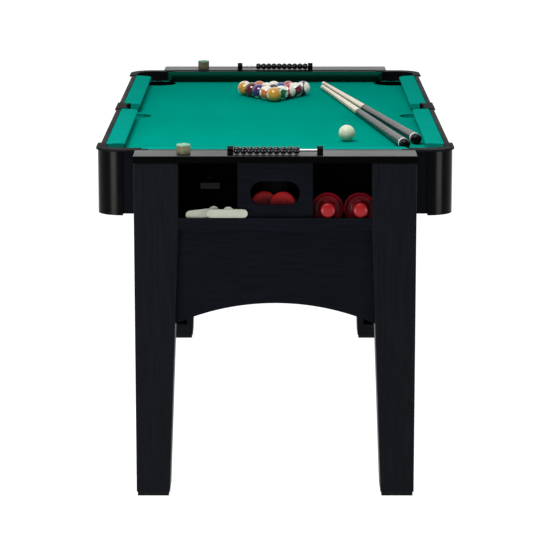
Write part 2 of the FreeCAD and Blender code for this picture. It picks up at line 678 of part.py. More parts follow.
def make_rail(label, nose, back, runs, ends, place):
    """A cloth-covered rail drawn along X: it pads its section, then its ends are cut at the pocket angles.
    runs = (start, stop) of the back edge, ends = (start, stop) of the nose edge."""
    body = new_body(label, place)
    section = [(back, "field_top"), (back, "rail_top"), (f"{nose} + nose_fall", "rail_top",
                f"{nose} + nose_fall * 0.29289", "rail_top - nose_fall * 0.29289"),
               (nose, "rail_top - nose_fall"), (f"{nose} + nose_undercut / 4", "rail_top - nose_waist"),
               (f"{nose} + nose_undercut", "field_top")]
    pad(body, "side", runs[0], f"({runs[1]}) - ({runs[0]})", section)
    beyond = "cab_board"
    depth = f"({back}) - ({nose})"
    for index, sign in ((0, "-1"), (1, "1")):
        lean = f"(({ends[index]}) - ({runs[index]})) / ({depth}) * {beyond}"
        past_end = f"{runs[index]} + {sign} * side_mouth"
        wedge = [(f"{ends[index]} + {lean}", f"{nose} - {beyond}"), (runs[index], back),
                 (f"{runs[index]} - {lean}", f"{back} + {beyond}"),
                 (past_end, f"{back} + {beyond}"), (past_end, f"{nose} - {beyond}")]
        pocket(body, "plan", "rail_top + 1", "rail_top - field_top + 2", wedge)


def make_rails():
    quarter = FreeCAD.Rotation(UP, 90)
    three_quarters = FreeCAD.Rotation(UP, -90)
    end_runs = ("-end_back", "end_back")
    end_noses = ("-end_nose", "end_nose")
    for name, place in (("far", HERE), ("near", TURNED)):
        make_rail(f"cushion_{name}", "nose_end", "rail_back", end_runs, end_noses, place)
    upper = ("side_throat", "rail_back_end")
    upper_nose = ("side_mouth", "rail_nose_end")
    lower = ("-rail_back_end", "-side_throat")
    lower_nose = ("-rail_nose_end", "-side_mouth")
    # turned by a quarter, the rail's own +X runs along the table's Y and its +Y points to the left side
    left = FreeCAD.Placement(FreeCAD.Vector(0, 0, 0), quarter)
    right = FreeCAD.Placement(FreeCAD.Vector(0, 0, 0), three_quarters)
    make_rail("cushion_left_far", "nose_half", "cloth_edge", upper, upper_nose, left)
    make_rail("cushion_left_near", "nose_half", "cloth_edge", lower, lower_nose, left)
    make_rail("cushion_right_near", "nose_half", "cloth_edge", upper, upper_nose, right)
    make_rail("cushion_right_far", "nose_half", "cloth_edge", lower, lower_nose, right)


def make_hockey_field():
    """The slide-hockey board under the cabinet, playing face down."""
    body = new_body("hockey_field")
    pad(body, "plan", "ice_height", "ice_board", field_outline("0"))


def make_hockey_bumpers():
    """Bumpers around the hockey field: full lengths at the sides, two at each end beside the goal."""
    members = []
    wide = "cab_half - cab_board"
    tall = "ice_height - cab_floor"
    for _, side in SIDES:
        corners = box_corners(f"{side} * ({wide} - bumper_wide)", f"{side} * ({wide})",
                              "-rail_back + bumper_wide", "rail_back - bumper_wide")
        members.append(prism("plan", "cab_floor", tall, corners))
    for _, place in ENDS:
        for _, side in SIDES:
            corners = box_corners(f"{side} * goal_half", f"{side} * casing_across",
                                  "-cab_end + end_board", "-cab_end + end_board + bumper_wide")
            members.append(prism("plan", "cab_floor", tall, corners, place))
    group("hockey_bumpers", members)


# ---------------------------------------------------------------- balls, cues and loose pieces
def make_ball(across, along):
    ball = doc.addObject("Part::Sphere", "Ball")
    ball.setExpression("Radius", sized("ball_radius"))
    ball.Placement = placed(across, along, "field_top + ball_radius + rest_gap")
    return ball


def make_balls():
    """Fifteen object balls in a triangle, and the cue ball."""
    members = []
    for line in range(5):
        for spot in range(line + 1):
            across = f"rack_across + ({spot} - {line} / 2) * ball_pitch"
            members.append(make_ball(across, f"rack_along + {line} * ball_pitch * 0.8660254"))
    group("object_balls", members)
    keep(make_ball("166", "-444"), "cue_ball")


def make_cue(label, across, along, swing):
    """A two-piece cue lying on the cloth: tip at (across, along), butt toward the near end."""
    lean = math.degrees(math.atan((size("cue_butt") - size("cue_tip")) / size("cue_long")))
    profile = [("0", "0"), ("cue_tip - 1", "0"), ("cue_tip", "1"), ("cue_joint", "cue_long * 0.49"),
               ("cue_butt", "cue_long - cue_dome", "cue_butt * 0.75", "cue_long - cue_dome * 0.28"),
               ("cue_butt * 0.3", "cue_long"), ("0", "cue_long")]
    toward = FreeCAD.Rotation(FreeCAD.Vector(1, 0, 0), 90 - lean)
    turn = FreeCAD.Rotation(UP, swing)
    spot = FreeCAD.Vector(across, along, size("field_top + cue_tip + rest_gap"))
    keep(turned_solid(profile, FreeCAD.Placement(spot, turn.multiply(toward))), label)


def make_chalk():
    """One chalk cube on each end frame."""
    members = []
    turn = FreeCAD.Rotation(UP, 40)
    corner = turn.multVec(FreeCAD.Vector(-size("chalk_side") / 2, -size("chalk_side") / 2, 0))
    for along in (-814, 800):
        cube = doc.addObject("Part::Box", "Cube")
        for name in ("Length", "Width", "Height"):
            cube.setExpression(name, sized("chalk_side"))
        spot = FreeCAD.Vector(size("chalk_across"), along, size("table_height"))
        cube.Placement = FreeCAD.Placement(spot.add(corner), turn)
        members.append(cube)
    group("chalk_cubes", members)


def on_rim(across, along, floor, radius, tilt):
    """Stands a round piece on its rim: its axis points out of the bay and rises by 'tilt' degrees."""
    turn = FreeCAD.Rotation(FreeCAD.Vector(1, 0, 0), 90 - tilt)
    rise = size(f"{radius} * {math.cos(math.radians(tilt)):.6f} + rest_gap")
    return FreeCAD.Placement(FreeCAD.Vector(across, along, size(floor) + rise), turn)


def make_pucks():
    """Two pucks in the middle bay: one leans on the pivot's flange, the other leans on the first."""
    profile = [("0", "0"), ("puck_radius - 1", "0"), ("puck_radius", "1"), ("puck_radius", "puck_thick - 1"),
               ("puck_radius - 1", "puck_thick"), ("0", "puck_thick")]
    members = [turned_solid(profile, on_rim(across, along, "puck_floor", "puck_radius", 17.5))
               for across, along in ((17, -796.5), (-24, -790))]
    group("pucks", members)


def make_striker(label, across):
    """A striker with its disc on its rim on the bay floor and its knob resting on the lip."""
    rim = "striker_rim"
    neck = "striker_dish * 2"
    crown = "striker_tall - 4"
    profile = [("0", "0"), ("striker_radius - 1", "0"), ("striker_radius", "1"), ("striker_radius", rim),
               ("striker_radius - 1.5", f"{rim} + 1.5"), ("striker_radius - 4", rim),
               ("striker_radius - 7", "striker_dish"), ("striker_neck + 3.5", "striker_dish"),
               ("striker_neck", neck), ("striker_neck", f"{crown} - 10"), ("striker_knob", f"{crown} - 5"),
               ("striker_knob", crown, "striker_knob * 0.82", f"{crown} + 3"),
               ("striker_knob * 0.4", "striker_tall"), ("0", "striker_tall")]
    keep(turned_solid(profile, on_rim(across, -800, "bay_floor", "striker_radius", 1)), label)


def make_net_post(across, along, height, length, tilt, clamp_across):
    """A flat round-ended bar on edge, with a round clamp behind it that reaches the bay floor."""
    straight = f"{length} / 2 - bar_tall / 2"
    outline = [(minus(f"({straight})"), "-bar_tall / 2"),
               (straight, "-bar_tall / 2", f"{length} / 2", "0"), (straight, "bar_tall / 2"),
               (minus(f"({straight})"), "bar_tall / 2", f"-{length} / 2", "0")]
    bar = prism("front", "0", "bar_thick", outline,
                placed(across, along, height, FreeCAD.Vector(0, 1, 0), tilt))
    clamp = doc.addObject("Part::Cylinder", "Clamp")
    clamp.setExpression("Radius", sized("clamp_radius"))
    clamp.setExpression("Height", sized("clamp_deep"))
    inward = FreeCAD.Rotation(FreeCAD.Vector(1, 0, 0), -90)
    clamp.Placement = FreeCAD.Placement(FreeCAD.Vector(clamp_across, along, size("clamp_height")), inward)
    foot = prism("plan", "bay_floor + rest_gap", "clamp_height - bay_floor - rest_gap",
                 box_corners(f"{clamp_across} - clamp_foot", f"{clamp_across} + clamp_foot",
                             f"{along} + 2", f"{along} + clamp_deep"))
    post = doc.addObject("Part::MultiFuse", "NetPost")
    post.Shapes = [bar, clamp, foot]
    return post


def make_net_posts():
    """One bar lies level on the lip; the other has slipped behind the lip at its left end."""
    group("net_posts", [make_net_post(-162, -829.5, 633.1, 66, -7, -134),
                        make_net_post(-104.5, -837.5, 634.6, 89, 0, -102)])


for end, place in ENDS:
    for side_name, side in SIDES:
        seen = side_name if end == "near" else {"left": "right", "right": "left"}[side_name]
        make_leg(f"leg_{end}_{seen}", side, place)
    make_top_board(f"top_board_{end}", place)
    make_back_panel(f"back_panel_{end}", place)
    make_centre_panel(f"centre_panel_{end}", place)
    make_shelf(f"storage_shelf_{end}", place)
    make_apron(f"arched_apron_{end}", place)
    make_beads(end)
    make_lock_bolt(f"lock_bolt_{end}", place)
    make_cabinet_end(f"cabinet_end_{end}", place)
make_middle_bays()
make_feet()
make_leg_screws()
make_scorer_brackets()
make_scorer_rods()
make_bushes()
make_lock_guides()
make_pins()
make_cabinet_side("cabinet_side_left", "-1")
make_cabinet_side("cabinet_side_right", "1")
for name, across, along in CORNERS:
    make_casing(f"corner_casing_{name}", across, along)
    make_corner_pocket(f"corner_pocket_{name}", across, along)
make_side_pocket("side_pocket_left", -1)
make_side_pocket("side_pocket_right", 1)
make_field("playfield_board", "field_top - cloth_thick - field_board", "field_board")
make_field("pool_cloth", "field_top - cloth_thick", "cloth_thick")
make_cups()
make_rails()
make_hockey_field()
make_hockey_bumpers()
make_balls()
make_cue("cue_left", 127.2, 545, 8.49)
make_cue("cue_right", 131.1, 623, 9.84)
make_chalk()
make_pucks()
make_striker("striker_left", 114.6)
make_striker("striker_right", 185.6)
make_net_posts()

doc.recompute()
for item in doc.Objects:
    if "Invalid" in item.State or "Error" in item.State:
        raise RuntimeError(f"{item.Label} did not build: {item.State}")
for item in NODES:
    if item.Shape.isNull() or not item.Shape.isValid():
        raise RuntimeError(f"{item.Label} has no valid shape")

os.makedirs("parts", exist_ok=True)
for item in NODES:
    item.Shape.exportStep(f"parts/{item.Label}.step")
print(len(NODES), "nodes written")
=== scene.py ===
# Looks, light and camera for the flip-top games table.  Metres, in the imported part's own frame:
# +Z up, +Y from the near end to the far end, origin on the floor under the middle.
import math

import bmesh
import bpy
from mathutils import Euler, Matrix, Vector


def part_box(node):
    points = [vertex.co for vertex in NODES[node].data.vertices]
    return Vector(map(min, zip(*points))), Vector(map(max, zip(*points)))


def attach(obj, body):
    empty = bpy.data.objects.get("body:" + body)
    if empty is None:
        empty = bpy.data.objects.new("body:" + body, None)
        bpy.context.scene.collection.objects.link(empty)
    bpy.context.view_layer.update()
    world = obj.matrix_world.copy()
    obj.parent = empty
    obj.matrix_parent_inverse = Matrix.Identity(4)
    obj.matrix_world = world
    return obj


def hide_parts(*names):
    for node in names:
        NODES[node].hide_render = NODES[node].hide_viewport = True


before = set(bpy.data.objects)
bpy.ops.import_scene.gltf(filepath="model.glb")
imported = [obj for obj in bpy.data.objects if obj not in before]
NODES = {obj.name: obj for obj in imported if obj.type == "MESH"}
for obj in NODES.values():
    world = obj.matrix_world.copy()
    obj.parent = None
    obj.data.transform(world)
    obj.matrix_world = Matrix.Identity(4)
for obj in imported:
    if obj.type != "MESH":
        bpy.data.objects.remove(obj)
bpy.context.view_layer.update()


# ---------------------------------------------------------------- material helpers
class Shader:
    """A material under construction: short calls that add and link nodes."""

    def __init__(self, name):
        self.material = bpy.data.materials.new(name)
        self.material.use_nodes = True
        self.tree = self.material.node_tree
        self.surface = self.tree.nodes["Principled BSDF"]
        spots = self.add("ShaderNodeTexCoord").outputs
        self.place = spots["Object"]
        self.normal = spots["Normal"]

    def add(self, kind, **settings):
        node = self.tree.nodes.new(kind)
        for key, value in settings.items():
            setattr(node, key, value)
        return node

    def link(self, start, end):
        self.tree.links.new(start, end)

    def set(self, **values):
        """Sets sockets on the surface shader; underscores stand for spaces."""
        for key, value in values.items():
            self.surface.inputs[key.replace("_", " ")].default_value = value

    def stretched(self, scale, turn=(0, 0, 0)):
        """Object coordinates scaled per axis, for grain and weave that run one way."""
        mapping = self.add("ShaderNodeMapping")
        mapping.inputs["Scale"].default_value = scale
        mapping.inputs["Rotation"].default_value = turn
        self.link(self.place, mapping.inputs["Vector"])
        return mapping.outputs["Vector"]

    def noise(self, scale, detail=4, rough=0.55, vector=None, distortion=0):
        node = self.add("ShaderNodeTexNoise")
        node.inputs["Scale"].default_value = scale
        node.inputs["Detail"].default_value = detail
        node.inputs["Roughness"].default_value = rough
        node.inputs["Distortion"].default_value = distortion
        self.link(vector or self.place, node.inputs["Vector"])
        return node.outputs["Fac"]

    def spread(self, value, low, high, start=0.3, stop=0.7):
        """Maps a texture value from start..stop to low..high."""
        node = self.add("ShaderNodeMapRange")
        node.inputs["From Min"].default_value = start
        node.inputs["From Max"].default_value = stop
        node.inputs["To Min"].default_value = low
        node.inputs["To Max"].default_value = high
        self.link(value, node.inputs["Value"])
        return node.outputs["Result"]

    def maths(self, operation, first, second=None):
        node = self.add("ShaderNodeMath", operation=operation)
        for socket, value in zip(node.inputs, (first, second)):
            if value is None:
                continue
            if isinstance(value, (int, float)):
                socket.default_value = value
            else:
                self.link(value, socket)
        return node.outputs[0]

    def blend(self, fac, first, second):
        """Mixes two colours, each an (r, g, b) or a socket."""
        node = self.add("ShaderNodeMix", data_type="RGBA")
        self.feed(node.inputs[0], fac)
        self.feed(node.inputs[6], first)
        self.feed(node.inputs[7], second)
        return node.outputs[2]

    def feed(self, socket, value):
        if isinstance(value, tuple):
            socket.default_value = (*value, 1)
        elif isinstance(value, (int, float)):
            socket.default_value = value
        else:
            self.link(value, socket)

    def colour(self, value):
        self.feed(self.surface.inputs["Base Color"], value)

    def roughness(self, value):
        self.feed(self.surface.inputs["Roughness"], value)

    def bump(self, height, distance, strength):
        node = self.add("ShaderNodeBump")
        node.inputs["Distance"].default_value = distance
        node.inputs["Strength"].default_value = strength
        self.link(height, node.inputs["Height"])
        self.link(node.outputs["Normal"], self.surface.inputs["Normal"])

    def upward(self):
        """1 on faces that point up in the object's own frame, 0 on its sides; it masks painted light on
        laminate tops and painted shade on their edges.
        """
        split = self.add("ShaderNodeSeparateXYZ")
        self.link(self.normal, split.inputs[0])
        return self.spread(split.outputs[2], 0, 1, 0.55, 0.9)

    def axis(self, index):
        """One object coordinate as a value."""
        node = self.add("ShaderNodeSeparateXYZ")
        self.link(self.place, node.inputs[0])
        return node.outputs[index]


# ---------------------------------------------------------------- materials
def laminate(name, tint, grain_axis, gloss=0.42, specular=0.05, sides=None):
    """Black laminate on board: long faint pores along one axis, slight mottling, and dust-fine relief.
    With 'sides' the edges of the board take that share of the top's tone and shine: painted light on the
    upward faces, painted shade and a weaker painted reflection on the edges."""
    shader = Shader(name)
    scale = [70, 70, 70]
    scale[grain_axis] = 3.2
    along = shader.stretched(scale)
    pores = shader.noise(4.0, 6, 0.62, along, 0.4)
    cloud = shader.noise(5.0, 3, 0.5)
    fine = shader.noise(900, 2, 0.5)
    light = tuple(part * 1.5 for part in tint)
    dark = tuple(part * 0.7 for part in tint)
    face = shader.blend(shader.spread(pores, 0, 1, 0.35, 0.68), dark, light)
    # Painted light and shade: upward faces keep the full tone and shine, sideways faces are darkened to the
    # 'sides' share.
    if sides is not None:
        top = shader.upward()
        face = shader.blend(top, tuple(part * sides for part in tint), face)
        shader.feed(shader.surface.inputs["Specular IOR Level"],
                    shader.spread(top, specular * sides, specular, 0, 1))
    shader.colour(face)
    rough = shader.maths("ADD", shader.spread(pores, gloss - 0.05, gloss + 0.07),
                         shader.spread(cloud, -0.04, 0.05))
    shader.roughness(rough)
    if sides is None:
        shader.set(Specular_IOR_Level=specular)
    relief = shader.maths("ADD", shader.maths("MULTIPLY", pores, 0.8), shader.maths("MULTIPLY", fine, 0.25))
    shader.bump(relief, 0.00016, 0.7)
    return shader.material


def moulding(name, tint, rough=0.34, specular=0.16, texture=1500):
    """Moulded plastic with a spark-eroded skin, soft flow marks and slightly uneven gloss."""
    shader = Shader(name)
    skin = shader.noise(texture, 3, 0.6)
    flow = shader.noise(9, 3, 0.55, None, 0.8)
    shader.colour(shader.blend(shader.spread(flow, 0, 1), tuple(part * 0.8 for part in tint),
                               tuple(part * 1.25 for part in tint)))
    shader.roughness(shader.maths("ADD", shader.spread(flow, rough - 0.04, rough + 0.05),
                                  shader.spread(skin, -0.03, 0.03)))
    shader.set(Specular_IOR_Level=specular)
    shader.bump(skin, 0.00012, 0.55)
    return shader.material


def cloth(name, tint, pale):
    """Napped playing cloth: a fine twill under short nap, faint brushing streaks and small tufts."""
    shader = Shader(name)
    twill_a = shader.add("ShaderNodeTexWave", wave_type="BANDS", bands_direction="DIAGONAL")
    twill_a.inputs["Scale"].default_value = 210
    twill_a.inputs["Distortion"].default_value = 1.2
    twill_a.inputs["Detail Scale"].default_value = 2
    shader.link(shader.place, twill_a.inputs["Vector"])
    nap = shader.noise(1400, 3, 0.7)
    tufts = shader.noise(260, 4, 0.65)
    brushed = shader.noise(3.0, 4, 0.55, shader.stretched((5, 0.8, 5)))
    worn = shader.noise(1.6, 3, 0.5)
    mix = shader.maths("ADD", shader.maths("MULTIPLY", nap, 0.45), shader.maths("MULTIPLY", tufts, 0.55))
    base = shader.blend(shader.spread(mix, 0, 1, 0.36, 0.64), tint, pale)
    streaked = shader.blend(shader.spread(brushed, 0, 0.28), base, tuple(part * 0.82 for part in tint))
    shader.colour(shader.blend(shader.spread(worn, 0, 0.14), streaked, pale))
    shader.roughness(shader.spread(nap, 0.86, 1.0))
    shader.set(Specular_IOR_Level=0.0, Sheen_Weight=0.10, Sheen_Roughness=0.5,
               Sheen_Tint=(0.0, 0.75, 0.6, 1))
    relief = shader.maths("ADD", shader.maths("MULTIPLY", mix, 0.7),
                          shader.maths("MULTIPLY", twill_a.outputs["Fac"], 0.3))
    shader.bump(relief, 0.0004, 0.55)
    return shader.material


def metal(name, tint, rough, turn_axis):
    """Plated steel with fine tool marks that run round or along one axis."""
    shader = Shader(name)
    scale = [400, 400, 400]
    scale[turn_axis] = 12
    marks = shader.noise(3, 4, 0.6, shader.stretched(scale))
    blotch = shader.noise(30, 3, 0.5)
    shader.colour(shader.blend(shader.spread(blotch, 0, 0.35), tint, tuple(part * 0.72 for part in tint)))
    shader.roughness(shader.spread(marks, rough - 0.07, rough + 0.1))
    shader.set(Metallic=1.0)
    shader.bump(marks, 0.00008, 0.5)
    return shader.material


def gloss(name, tint, rough=0.12, specular=0.5, coat=0.0):
    """Polished plastic or resin with faint handling haze and tiny scuffs."""
    shader = Shader(name)
    haze = shader.noise(60, 4, 0.6)
    scuff = shader.noise(420, 5, 0.7, shader.stretched((1, 6, 2)))
    shader.colour(shader.blend(shader.spread(haze, 0, 0.5), tint, tuple(part * 0.84 for part in tint)))
    shader.roughness(shader.maths("ADD", shader.spread(haze, rough, rough + 0.07),
                                  shader.spread(scuff, 0, 0.05, 0.55, 0.8)))
    shader.set(Specular_IOR_Level=specular, Coat_Weight=coat, Coat_Roughness=0.06)
    shader.bump(scuff, 0.00003, 0.35)
    return shader.material


def fibreboard(name):
    """Black-stained fibreboard: matted fibres and a cloudy stain."""
    shader = Shader(name)
    fibre = shader.noise(300, 5, 0.7, shader.stretched((1, 0.4, 1)))
    cloud = shader.noise(12, 3, 0.5)
    stain = shader.blend(shader.spread(fibre, 0, 1), (0.0006, 0.0006, 0.0006), (0.0020, 0.0019, 0.0017))
    shader.colour(shader.blend(shader.spread(cloud, 0, 0.3), stain, (0.0010, 0.0009, 0.0008)))
    shader.roughness(shader.spread(fibre, 0.7, 0.9))
    shader.set(Specular_IOR_Level=0.0)
    shader.bump(fibre, 0.0002, 0.6)
    return shader.material


def rink(name):
    """The slick white hockey face with generic centre line, circles and goal creases."""
    shader = Shader(name)
    across = shader.axis(0)
    along = shader.axis(1)
    flat = shader.maths("ABSOLUTE", along)
    out = shader.maths("ABSOLUTE", across)
    ring = shader.maths("SQRT", shader.maths("ADD", shader.maths("POWER", across, 2),
                                             shader.maths("POWER", along, 2)))
    end_shift = shader.maths("SUBTRACT", flat, 0.715)
    crease = shader.maths("SQRT", shader.maths("ADD", shader.maths("POWER", across, 2),
                                               shader.maths("POWER", end_shift, 2)))
    spot_y = shader.maths("SUBTRACT", flat, 0.46)
    spot_x = shader.maths("SUBTRACT", out, 0.19)
    spot = shader.maths("SQRT", shader.maths("ADD", shader.maths("POWER", spot_x, 2),
                                             shader.maths("POWER", spot_y, 2)))

    def line(distance, radius, half):
        gap = shader.maths("ABSOLUTE", shader.maths("SUBTRACT", distance, radius))
        return shader.maths("LESS_THAN", gap, half)

    red = shader.maths("MAXIMUM", shader.maths("LESS_THAN", flat, 0.005), line(spot, 0.075, 0.0022))
    red = shader.maths("MAXIMUM", red, shader.maths("LESS_THAN", spot, 0.012))
    red = shader.maths("MAXIMUM", red, line(crease, 0.14, 0.0025))
    blue = shader.maths("MAXIMUM", line(ring, 0.105, 0.003), line(flat, 0.235, 0.006))
    blue = shader.maths("MAXIMUM", blue, shader.maths("LESS_THAN", ring, 0.014))
    scuffs = shader.noise(90, 5, 0.7, shader.stretched((1, 3, 1)), 0.6)
    white = shader.blend(shader.spread(scuffs, 0, 0.3, 0.45, 0.75), (0.80, 0.82, 0.84), (0.62, 0.65, 0.69))
    inked = shader.blend(blue, white, (0.03, 0.09, 0.42))
    shader.colour(shader.blend(red, inked, (0.55, 0.02, 0.025)))
    shader.roughness(shader.spread(scuffs, 0.16, 0.34))
    shader.bump(scuffs, 0.00004, 0.4)
    return shader.material


def maple(name):
    """Lacquered pale maple: close straight grain along the cue and short darker flecks."""
    shader = Shader(name)
    grain = shader.noise(3, 6, 0.65, shader.stretched((260, 260, 5)), 0.5)
    fleck = shader.noise(2.2, 3, 0.6, shader.stretched((700, 700, 60)))
    wood = shader.blend(shader.spread(grain, 0, 1, 0.34, 0.7), (0.70, 0.60, 0.42), (0.50, 0.39, 0.23))
    shader.colour(shader.blend(shader.spread(fleck, 0, 0.45, 0.6, 0.78), wood, (0.32, 0.22, 0.12)))
    shader.roughness(shader.spread(grain, 0.2, 0.34))
    shader.set(Coat_Weight=0.5, Coat_Roughness=0.1)
    shader.bump(grain, 0.00006, 0.4)
    return shader.material


def wrap(name, tint):
    """Dark cue butt with a fine pressed wrap."""
    shader = Shader(name)
    turns = shader.add("ShaderNodeTexWave", wave_type="BANDS", bands_direction="Z")
    turns.inputs["Scale"].default_value = 240
    turns.inputs["Distortion"].default_value = 0.6
    shader.link(shader.place, turns.inputs["Vector"])
    fleck = shader.noise(500, 3, 0.6)
    shader.colour(shader.blend(shader.spread(fleck, 0, 1), tint, tuple(part * 1.8 for part in tint)))
    shader.roughness(shader.spread(fleck, 0.24, 0.36))
    shader.set(Specular_IOR_Level=0.3)
    shader.bump(turns.outputs["Fac"], 0.0001, 0.3)
    return shader.material


def chalky(name, tint):
    shader = Shader(name)
    grit = shader.noise(1800, 4, 0.8)
    worn = shader.noise(120, 4, 0.6)
    shader.colour(shader.blend(shader.spread(worn, 0, 1), tint, tuple(min(1, part * 1.35) for part in tint)))
    shader.roughness(shader.spread(grit, 0.85, 1.0))
    shader.set(Specular_IOR_Level=0.1)
    shader.bump(grit, 0.0003, 0.8)
    return shader.material


def paper(name, tint):
    """Printed paper wrap: plain colour with fibre and a worn edge tone, no lettering."""
    shader = Shader(name)
    fibre = shader.noise(700, 4, 0.65, shader.stretched((1, 1, 3)))
    worn = shader.noise(160, 3, 0.5)
    shader.colour(shader.blend(shader.spread(worn, 0, 1), tint, tuple(part * 0.6 for part in tint)))
    shader.roughness(shader.spread(fibre, 0.45, 0.65))
    shader.bump(fibre, 0.00012, 0.6)
    return shader.material


def ball_finish(name, tint, striped):
    """Polished ball: solid colour with a pale number spot, or a pale ball with a broad colour band."""
    shader = Shader(name)
    radius = 0.01905
    up = shader.axis(2)
    across = shader.axis(0)
    along = shader.axis(1)
    pale = (0.74, 0.72, 0.62)
    from_pole = shader.maths("SQRT", shader.maths("ADD", shader.maths("POWER", along, 2),
                                                  shader.maths("POWER", up, 2)))
    spot = shader.maths("LESS_THAN", from_pole, radius * 0.42)
    swirl = shader.noise(70, 3, 0.5, None, 1.5)
    rich = shader.blend(shader.spread(swirl, 0, 0.6), tint, tuple(part * 0.7 for part in tint))
    body = rich
    if striped:
        band = shader.maths("LESS_THAN", shader.maths("ABSOLUTE", up), radius * 0.56)
        body = shader.blend(band, pale, rich)
    shader.colour(shader.blend(spot, body, pale))
    shader.roughness(shader.spread(swirl, 0.06, 0.12))
    shader.set(Specular_IOR_Level=0.5, Coat_Weight=0.6, Coat_Roughness=0.04)
    shader.bump(shader.noise(500, 3, 0.6), 0.00001, 0.3)
    return shader.material


BLACK = (0.0019, 0.0026, 0.0040)
LOOKS = {
    "laminate_up": laminate("laminate_up", BLACK, 2),
    "laminate_across": laminate("laminate_across", (0.0015, 0.0021, 0.0037), 0, 0.42, 0.035),
    "laminate_along": laminate("laminate_along", (0.0018, 0.0022, 0.0028), 1, 0.42, 0.012),
    # the top board: painted light on its upward faces, painted shade on its edges at 0.08 of the top's tone
    # and shine
    "laminate_top": laminate("laminate_top", (0.006, 0.0068, 0.0072), 0, 0.34, 0.22, 0.08),
    # the bay boards: the same black laminate made near black, painted shade for the dark inside of the bays
    "bay_painted_shade": laminate("bay_painted_shade", (0.0006, 0.0006, 0.0007), 2, 0.6, 0.0),
    "black_moulding": moulding("black_moulding", (0.0007, 0.0008, 0.0010), 0.2, 0.034),
    "grey_moulding": moulding("grey_moulding", (0.0050, 0.0054, 0.0062), 0.42, 0.005),
    "side_moulding": moulding("side_moulding", (0.006, 0.0064, 0.007), 0.42, 0.004),
    "foot_moulding": moulding("foot_moulding", (0.003, 0.003, 0.0034), 0.5, 0.08, 700),
    "liner": moulding("liner", (0.0012, 0.0012, 0.0013), 0.7, 0.02, 900),
    "cloth": cloth("cloth", (0.0, 0.200, 0.147), (0.0, 0.262, 0.197)),
    "rail_cloth": cloth("rail_cloth", (0.001, 0.200, 0.155), (0.003, 0.262, 0.208)),
    # the far end rail: a much darker copy of the rail cloth, painted shade
    "far_cloth": cloth("far_cloth", (0.0012, 0.026, 0.015), (0.0025, 0.036, 0.022)),
    "steel": metal("steel", (0.52, 0.53, 0.54), 0.32, 1),
    "black_steel": metal("black_steel", (0.010, 0.010, 0.011), 0.36, 0),
    # pivot pins: a dull near-black finish in place of their black steel, painted shade for the dark bays
    # they sit in
    "pivot_painted_shade": moulding("pivot_painted_shade", (0.0012, 0.0012, 0.0014), 0.5, 0.02, 800),
    "bead": gloss("bead", (0.0022, 0.0026, 0.0042), 0.14, 0.4),
    "board": fibreboard("board"),
    "rink": rink("rink"),
    "bumper": gloss("bumper", (0.006, 0.006, 0.007), 0.3, 0.3),
    "red": gloss("red", (0.36, 0.011, 0.014), 0.24, 0.35),
    "knob_red": gloss("knob_red", (0.185, 0.006, 0.008), 0.28, 0.18),
    "dark_red": gloss("dark_red", (0.10, 0.0015, 0.005), 0.28, 0.15),
    "white": gloss("white", (0.29, 0.31, 0.255), 0.3, 0.2),
    "ivory": gloss("ivory", (0.60, 0.62, 0.46), 0.3, 0.3),
    "maple": maple("maple"),
    "butt": wrap("butt", (0.004, 0.0045, 0.0044)),
    "cap": gloss("cap", (0.002, 0.0025, 0.0025), 0.3, 0.15),
    "ring": gloss("ring", (0.80, 0.82, 0.78), 0.25, 0.5),
    "leather": chalky("leather", (0.45, 0.52, 0.46)),
    "chalk": chalky("chalk", (0.18, 0.34, 0.25)),
    "label_brown": paper("label_brown", (0.135, 0.13, 0.065)),
    "label_gold": paper("label_gold", (0.62, 0.62, 0.26)),
}

# back panel and middle bay boards take the painted-shade laminate; the pivot pins take a dull black that
# paints the bays' shade
NODE_LOOKS = {
    "leg_": "laminate_up", "top_board": "laminate_top", "back_panel": "bay_painted_shade",
    "centre_panel": "laminate_across", "storage_shelf": "laminate_across",
    "arched_apron": "laminate_across", "cabinet_end": "laminate_across", "cabinet_side": "laminate_along",
    "middle_bay_boards": "bay_painted_shade", "foot_caps": "foot_moulding", "scorer_brackets": "black_moulding",
    "lock_guides": "black_moulding", "corner_casing": "black_moulding", "corner_pocket": "grey_moulding",
    "side_pocket": "side_moulding", "pool_cloth": "cloth", "cushion": "rail_cloth",
    "playfield_board": "board", "pocket_cups": "liner", "pivot": "pivot_painted_shade", "lock_bolt": "black_steel",
    "scorer_rods": "steel", "leg_screws": "black_steel", "scorer_beads": "bead",
    "hockey_field": "rink", "hockey_bumpers": "bumper", "object_balls": "ivory", "cue_ball": "ivory",
    "cue_left": "maple", "cue_right": "maple", "chalk_cubes": "chalk", "pucks": "red", "striker": "red",
    "net_posts": "white",
}


def dress_nodes():
    """Gives each carried-over CAD node its material: the longest matching name start wins."""
    for name, node in NODES.items():
        fitting = [start for start in NODE_LOOKS if name.startswith(start)]
        look = LOOKS[NODE_LOOKS[max(fitting, key=len)]]
        for index in range(len(node.material_slots)):
            node.material_slots[index].material = look


# ---------------------------------------------------------------- mesh helpers
def finish_piece(name, mesh, look, body, place=Matrix.Identity(4), smooth=True):
    """Makes an object from a bmesh, gives it its materials and hangs it on a body."""
    data = bpy.data.meshes.new(name)
    bmesh.ops.recalc_face_normals(mesh, faces=mesh.faces)
    mesh.to_mesh(data)
    mesh.free()
    piece = bpy.data.objects.new(name, data)
    bpy.context.scene.collection.objects.link(piece)
    for key in (look if isinstance(look, (list, tuple)) else [look]):
        data.materials.append(LOOKS[key] if isinstance(key, str) else key)
    if smooth:
        data.shade_smooth()
    piece.matrix_world = place
    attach(piece, body)
    return piece


